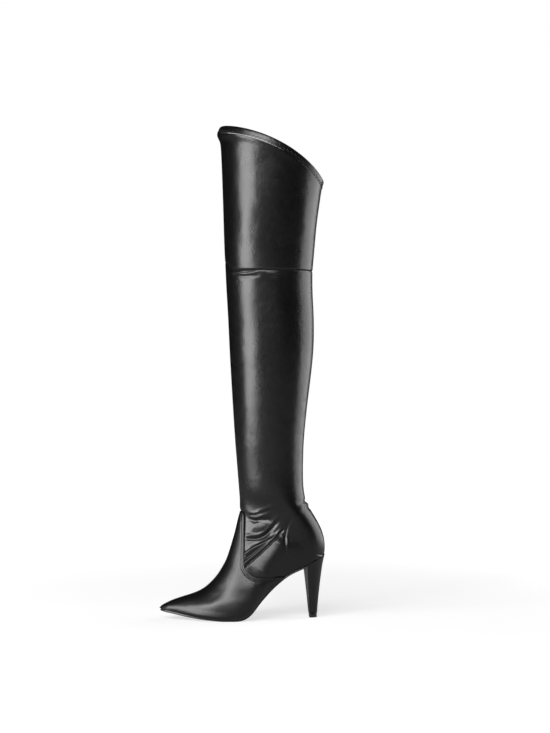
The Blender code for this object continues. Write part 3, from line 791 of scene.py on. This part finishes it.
def laid(name, points, finish, attributes=()):
    """A grid laid on rows of points, faces outward, its seam welded where its ends meet."""
    rows, columns = points.shape[0] - 1, points.shape[1] - 1
    shape = bmesh.new()
    shape.loops.layers.uv.new("panel")
    layers = [(shape.verts.layers.float.new(title), values) for title, values in attributes]
    bmesh.ops.create_grid(shape, x_segments=columns, y_segments=rows, size=1.0, calc_uvs=True)
    for vert in shape.verts:
        row, column = round((vert.co.y + 1) / 2 * rows), round((vert.co.x + 1) / 2 * columns)
        vert.co = points[row, column]
        for layer, values in layers:
            vert[layer] = values[row, column]
    bmesh.ops.remove_doubles(shape, verts=shape.verts, dist=WELD)
    shape.normal_update()
    middle = points.mean(axis=1)
    face = max(shape.faces, key=lambda face: face.calc_center_median().z)
    nearest = middle[np.argmin(np.abs(points[:, :, 2].mean(axis=1) - face.calc_center_median().z))]
    if face.normal.dot(face.calc_center_median() - Vector(nearest)) < 0:
        bmesh.ops.reverse_faces(shape, faces=shape.faces)
    return finished(name, shape, finish)


def finished(name, shape, finish):
    for face in shape.faces:
        face.smooth = True
    mesh = bpy.data.meshes.new(name)
    shape.to_mesh(mesh)
    shape.free()
    mesh.materials.append(finish)
    obj = linked(name, mesh)
    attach(obj, "root")
    return obj


def walled(obj, thickness):
    wall = obj.modifiers.new("wall", "SOLIDIFY")
    wall.thickness = thickness
    wall.offset = -1.0
    wall.use_quality_normals = True


def rounded_edges(obj, width):
    bevel = obj.modifiers.new("edges", "BEVEL")
    bevel.width = width
    bevel.segments = 2
    bevel.limit_method = "ANGLE"
    bevel.angle_limit = BEVEL_ANGLE


def read_line(line, reach, place):
    """The value of a line at a distance along it."""
    return Vector([np.interp(place, reach, line[:, axis]) for axis in range(3)])


def stitches(name, line, normals, finish):
    """A row of stitches along a line on a surface."""
    reach = reach_along(line)
    half = STITCH_LENGTH / 2
    shape = bmesh.new()
    for place in np.arange(STITCH_PITCH / 2, reach[-1], STITCH_PITCH):
        start, end = (read_line(line, reach, place + off) for off in (-half, half))
        add_stitch(shape, start, end, read_line(normals, reach, place).normalized(), STITCH_THREAD)
    finished(name, shape, finish)


def add_stitch(shape, start, end, normal, thickness):
    """One stitch: a flattened capsule that lies on the leather from start to end."""
    direction = (end - start).normalized()
    across = normal.cross(direction).normalized()
    normal = direction.cross(across)
    turn = Matrix((direction, across, normal)).transposed().to_4x4()
    size = Matrix.Diagonal(((end - start).length / 2, thickness / 2, thickness * THREAD_FLATNESS, 1))
    place = Matrix.Translation((start + end) / 2 + normal * thickness * THREAD_STANDS)
    lengthwise = Matrix.Rotation(math.pi / 2, 4, "Y")
    bmesh.ops.create_uvsphere(
        shape, u_segments=6, v_segments=6, radius=1.0, matrix=place @ turn @ size @ lengthwise
    )


def edge_height(skin, degrees, inside, outside):
    """Where a skin ends at an angle, between a height that it has and one that it hasn't."""
    for _ in range(EDGE_HALVINGS):
        middle = (inside + outside) / 2
        if round_leg(skin, degrees, middle) is None:
            outside = middle
        else:
            inside = middle
    return inside


def angles_of(points):
    """Degrees round the leg from the shin, the outer side first."""
    return np.degrees(np.arctan2(-points[..., 1], AXIS_X - points[..., 0]))


def cut(surface, rows, columns):
    """A grid of points at rows that are given for each of the surface's columns, read at new columns."""
    own = np.arange(surface.points.shape[1])
    read = np.array([np.interp(columns, own, row) for row in rows])
    return surface.at(read, np.broadcast_to(columns, read.shape))


def shares_between(first, last, shares):
    return [first + (last - first) * share for share in shares]


def steps(first, last, count):
    return list(np.linspace(first, last, count, endpoint=False))


def worn(distance, wear):
    """How worn leather is at a distance from an edge."""
    most, reach = wear
    return most * np.exp(-np.abs(distance) / reach)


def make_quarters(boot, skin, knee, finish):
    """Quarters and lower leg in one: from under the vamp up to the knee seam, where the edge turns in."""
    past = past_vamp(boot.points)
    above = boot.points[..., 2] - np.interp(angles_of(boot.points), *knee)
    first = rows_at(past, -TUCK)
    last = rows_at(above, -KNEE_LEVELS[0])
    shares = [share for stretch in QUARTER_ROWS for share in steps(*stretch)]
    rows = shares_between(first, last, shares)
    rows += [rows_at(above, -level) for level in KNEE_LEVELS]
    points = cut(boot, rows, np.linspace(0, 2 * HALF_COLUMNS, QUARTER_COLUMNS))
    normals = normals_of(points)
    below = np.interp(angles_of(points), *knee) - points[..., 2]
    past = past_vamp(points)
    rise = fold_rise(points, skin, every_fold()) * eased(past, FOLDS_FROM_VAMP)
    wear = worn(below, SEAM_WEAR) + np.clip(rise / WORN_RISE, 0, FOLD_WEAR)
    rise += seam_dip(below) - VAMP_DIP * bell(past, 0, VAMP_DIP_WIDTH) + back_groove(points)
    points = closed_at_back(points + normals * rise[..., None])
    turned = [points[-1] - normals[-1] * depth - np.array((0, 0, down)) for depth, down in TURNED_EDGE]
    points = np.concatenate([points, closed_at_back(np.array(turned))])
    wear = np.concatenate([wear, wear[-2:]])
    quarters = laid("quarters", points, finish, [("wear", wear)])
    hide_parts("upper")


def every_fold():
    folds = ANKLE_FOLDS + COUNTER_FOLDS + KNEE_FOLDS + LEG_FOLDS
    return folds + on_inner_side(folds) + BACK_FOLDS


def back_groove(points):
    """A shallow seam up the middle of the back."""
    back = eased(points[..., 0] - AXIS_X, BACK_ZONE)
    return -BACK_GROOVE * back * bell(points[..., 1], 0, BACK_WIDTH)


def seam_dip(distance):
    """How a turned edge sinks into its seam."""
    return -SEAM_DEPTH * bell(distance, 0, SEAM_WIDTH)


def make_vamp(boot, finish, thread):
    """The vamp, laid over the quarters, with two rows of stitches inside its edge."""
    outside = Surface(boot.points + normals_of(boot.points) * (CLEARANCE + OVERLAY))
    past = past_vamp(boot.points)
    first = np.zeros(past.shape[1])
    rows = shares_between(first, rows_at(past, -VAMP_LEVELS[0]), steps(0, 1, VAMP_ROWS))
    rows += [rows_at(past, -level) for level in VAMP_LEVELS]
    points = cut(outside, rows, np.linspace(0, 2 * HALF_COLUMNS, VAMP_COLUMNS))
    inside = -past_vamp(points)
    grooves = sum(bell(inside, level, GROOVE_WIDTH) for level in STITCH_LEVELS)
    points = points - normals_of(points) * (GROOVE * grooves)[..., None]
    middle = points[0].mean(axis=0)
    tip = middle + np.array((-TIP_DEPTH, 0, 0))
    nose = [np.broadcast_to(tip, points[0].shape)]
    for turn in TIP_TURNS:
        ahead = np.array((TIP_DEPTH * math.sin(turn), 0, 0))
        nose.append(middle + (points[0] - middle) * math.cos(turn) - ahead)
    points = np.concatenate([nose, points])
    inside = np.concatenate([inside[:1]] * len(nose) + [inside])
    wear = worn(inside, VAMP_WEAR) + worn(points[..., 0] - tip[0], TOE_WEAR)
    vamp = laid("vamp_overlay", points, finish, [("wear", wear)])
    walled(vamp, OVERLAY)
    rounded_edges(vamp, VAMP_ROUND)
    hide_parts("vamp")
    across = np.linspace(1, 2 * HALF_COLUMNS - 1, STITCH_POINTS)
    for number, level in enumerate(STITCH_LEVELS):
        row = rows_at(past, -level)
        normals = cut(Surface(normals_of(outside.points)), [row], across)[0]
        line = cut(outside, [row], across)[0] - normals * (GROOVE * GROOVE_SHARE)
        stitches(f"vamp_stitches_{number + 1}", line, normals, thread)


def make_leg_lining(boot, skin, knee, finish):
    """Knit behind the quarters and the leg, from the foot to above the knee."""
    above = boot.points[..., 2] - np.interp(angles_of(boot.points), *knee)
    last = rows_at(above, LINING_PAST_KNEE)
    rows = shares_between(np.full(len(last), LINING_FIRST_ROW), last, np.linspace(0, 1, LINING_ROWS))
    points = cut(boot, rows, np.linspace(0, 2 * HALF_COLUMNS, LINING_COLUMNS))
    inward = np.minimum(fold_rise(points, skin, every_fold()), 0) - (LEATHER + LEG_LINING_GAP)
    points = closed_at_back(points + normals_of(points) * inward[..., None])
    walled(laid("leg_lining", points, finish), LINING)


def shaft_points(skin, bottom, top, shares, degrees):
    """Rows of points on the skin between two lines round the leg."""
    rows = []
    for share in shares:
        heights = [low + (high - low) * share for low, high in zip(bottom, top)]
        rows.append([round_leg(skin, angle, height) for angle, height in zip(degrees, heights)])
    return np.array(rows)


def make_thigh_panel(skin, finish, lining):
    """The shaft above the knee seam, and the knit behind it."""
    degrees = np.linspace(-180, 180, THIGH_COLUMNS)
    bottom = [edge_height(skin, angle, THIGH_MIDDLE, BELOW_KNEE) for angle in degrees]
    top = [edge_height(skin, angle, THIGH_MIDDLE, OVER_TOP) for angle in degrees]
    height = np.mean(top) - np.mean(bottom)
    shares = [level / height for level in KNEE_LEVELS[::-1]]
    shares += steps(*THIGH_ROWS) + list(np.linspace(*THIGH_TOP_ROWS))
    shares[0] = END_SHARE
    shares[-1] = 1 - END_SHARE
    points = shaft_points(skin, bottom, top, shares, degrees)
    above = np.array(shares)[:, None] * height + np.zeros(len(degrees))
    rise = seam_dip(above) + fold_rise(points, skin, THIGH_FOLDS)
    points = closed_at_back(points + normals_of(points) * rise[..., None])
    wear = [("wear", worn(above, SEAM_WEAR))]
    panel = laid("thigh_panel_leather", points, finish, wear)
    walled(panel, LEATHER)
    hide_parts("thigh_panel")
    inner = shaft_points(skin, bottom[::2], top[::2], np.linspace(*THIGH_LINING_ROWS), degrees[::2])
    inner = closed_at_back(inner - normals_of(inner) * (LEATHER + THIGH_LINING_GAP))
    walled(laid("thigh_lining", inner, lining), LINING)


def refined_copy(node, name, finish, hard=False):
    """A node's shape with its facets rounded and its sharp edges kept, crisp where hard."""
    shape = node_shape(node)
    creases = shape.edges.layers.float.new("crease_edge")
    for edge in shape.edges:
        if not edge.is_manifold or edge.calc_face_angle() > SHARP:
            edge[creases] = 1.0 if hard else SOFT_CREASE
            edge.smooth = not hard
    under = shape.verts.layers.float.new("under")
    shape.normal_update()
    for vert in shape.verts:
        vert[under] = float(vert.normal.z < UNDERSIDE)
    copy = finished(name, shape, finish)
    refined(copy, COPY_LEVELS)
    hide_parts(node)


def make_collar(skin, finish, thread):
    """The turned edge round the collar, held by a zigzag stitch."""
    refined_copy("collar_band", "collar_band_leather", finish, hard=True)
    degrees = np.linspace(-180, 180, 361)
    low, high = [], []
    for angle in degrees:
        inside = next(height for height in COLLAR_HEIGHTS if round_leg(skin, angle, height))
        high.append(edge_height(skin, angle, inside, inside + ABOVE_COLLAR))
        low.append(edge_height(skin, angle, inside, inside - BELOW_COLLAR))
    low, high = np.array(low), np.array(high)
    points, normals = [], []
    end = 180 - NEARBY_ANGLE
    for number, angle in enumerate(np.linspace(-end, end, ZIGZAG_COUNT)):
        heights = low + (high - low) * ZIGZAG_SHARES[number % 2]
        height = np.interp(angle, degrees, heights)
        point = round_leg(skin, angle, height)
        angle_beside = angle + NEARBY_ANGLE
        beside = round_leg(skin, angle_beside, np.interp(angle_beside, degrees, heights))
        over = round_leg(skin, angle, height + NEARBY_HEIGHT)
        normal = (over - point).cross(beside - point).normalized()
        if normal.dot(point - Vector((AXIS_X, 0, height))) < 0:
            normal.negate()
        points.append(point)
        normals.append(normal)
    shape = bmesh.new()
    for a, b, normal in zip(points, points[1:], normals):
        add_stitch(shape, a, b, normal, ZIGZAG_THREAD)
    finished("collar_zigzag", shape, thread)


def make_studio():
    """White floor, white behind it, and the soft boxes."""
    scene = bpy.context.scene
    scene.view_settings.view_transform = "Standard"
    shape = bmesh.new()
    bmesh.ops.create_grid(shape, x_segments=1, y_segments=1, size=FLOOR_SIZE)
    mesh = bpy.data.meshes.new("floor")
    shape.to_mesh(mesh)
    shape.free()
    floor = linked("floor", mesh)
    mesh.materials.append(floor_finish())
    world = bpy.data.worlds.new("studio")
    world.use_nodes = True
    scene.world = world
    tree = world.node_tree
    rays = tree.nodes.new("ShaderNodeLightPath")
    shade = tree.nodes.new("ShaderNodeMix")
    shade.data_type = "RGBA"
    shade.inputs[6].default_value = (WORLD_LIGHT, WORLD_LIGHT, WORLD_LIGHT, 1)
    shade.inputs[7].default_value = (1, 1, 1, 1)
    tree.links.new(rays.outputs["Is Camera Ray"], shade.inputs[0])
    tree.links.new(shade.outputs[2], tree.nodes["Background"].inputs["Color"])
    for box in SOFT_BOXES:
        soft_box(*box)


def floor_finish():
    """White floor that fades into the white behind it."""
    finish = Finish("white_floor", Roughness=1.0, Specular_IOR_Level=0.0)
    finish.shader.inputs["Base Color"].default_value = FLOOR_SHADE
    away = finish.value("ShaderNodeVectorMath", {"operation": "LENGTH"}, {0: finish.place()}, "Value")
    near, white = FLOOR_FADE
    far = finish.value(
        "ShaderNodeMapRange", {"interpolation_type": "SMOOTHSTEP"}, {0: away, 1: near, 2: white}
    )
    glow = FLOOR_GLOW + far * (1 - FLOOR_GLOW)
    seen = finish.value("ShaderNodeLightPath", output="Is Camera Ray")
    finish.join(seen * glow, finish.shader.inputs["Emission Color"])
    finish.shader.inputs["Emission Strength"].default_value = 1.0
    return finish.material


def soft_box(name, degrees, distance, width, bottom, top, power):
    """A tall light, placed by its angle to the right of the camera as seen from the boot."""
    turn = math.radians(degrees)
    to_camera = Vector((-math.sin(CAMERA_TURN), -math.cos(CAMERA_TURN), 0))
    to_right = Vector((math.cos(CAMERA_TURN), -math.sin(CAMERA_TURN), 0))
    direction = to_camera * math.cos(turn) + to_right * math.sin(turn)
    light = bpy.data.lights.new(name, "AREA")
    light.shape = "RECTANGLE"
    light.size = width
    light.size_y = top - bottom
    light.energy = power
    lamp = bpy.data.objects.new(name, light)
    lamp.location = Vector((AXIS_X, 0, (bottom + top) / 2)) + direction * distance
    lamp.rotation_euler = (math.pi / 2, 0, math.atan2(direction.x, -direction.y))
    bpy.context.scene.collection.objects.link(lamp)


def make_camera():
    camera = bpy.data.cameras.new("camera")
    camera.sensor_width = SENSOR
    camera.lens = FOCAL_PIXELS * SENSOR / FRAME_HEIGHT
    holder = bpy.data.objects.new("camera", camera)
    holder.location = CAMERA_PLACE
    holder.rotation_euler = (math.pi / 2, 0, -CAMERA_TURN)
    bpy.context.scene.collection.objects.link(holder)
    bpy.context.scene.camera = holder


def make_boot():
    leather = leather_finish("black_stretch_leather", *SHAFT_LEATHER)
    vamp_leather = leather_finish("black_vamp_leather", *VAMP_LEATHER)
    cover = leather_finish("heel_cover", *HEEL_COVER)
    rubber = sole_finish()
    lining = lining_finish()
    thread = thread_finish()
    leg_skin = smooth_skin("upper")
    thigh_skin = smooth_skin("thigh_panel")
    band_skin = smooth_skin("collar_band")
    boot = fuller_ball(measured_surface(smooth_skin("upper", "thigh_panel")))
    degrees = np.linspace(-180, 180, 121)
    knee = (degrees, [edge_height(leg_skin, angle, BELOW_KNEE, ABOVE_KNEE) for angle in degrees])
    make_quarters(boot, leg_skin, knee, leather)
    make_vamp(boot, vamp_leather, thread)
    make_leg_lining(boot, leg_skin, knee, lining)
    make_thigh_panel(thigh_skin, leather, lining)
    make_collar(band_skin, leather, thread)
    refined_copy("outsole", "outsole_painted", rubber)
    refined_copy("heel", "heel_covered", cover, hard=True)
    refined_copy("top_piece", "heel_tip", rubber)
    refined_copy("insole", "insole_sock", lining)


make_boot()
make_studio()
make_camera()
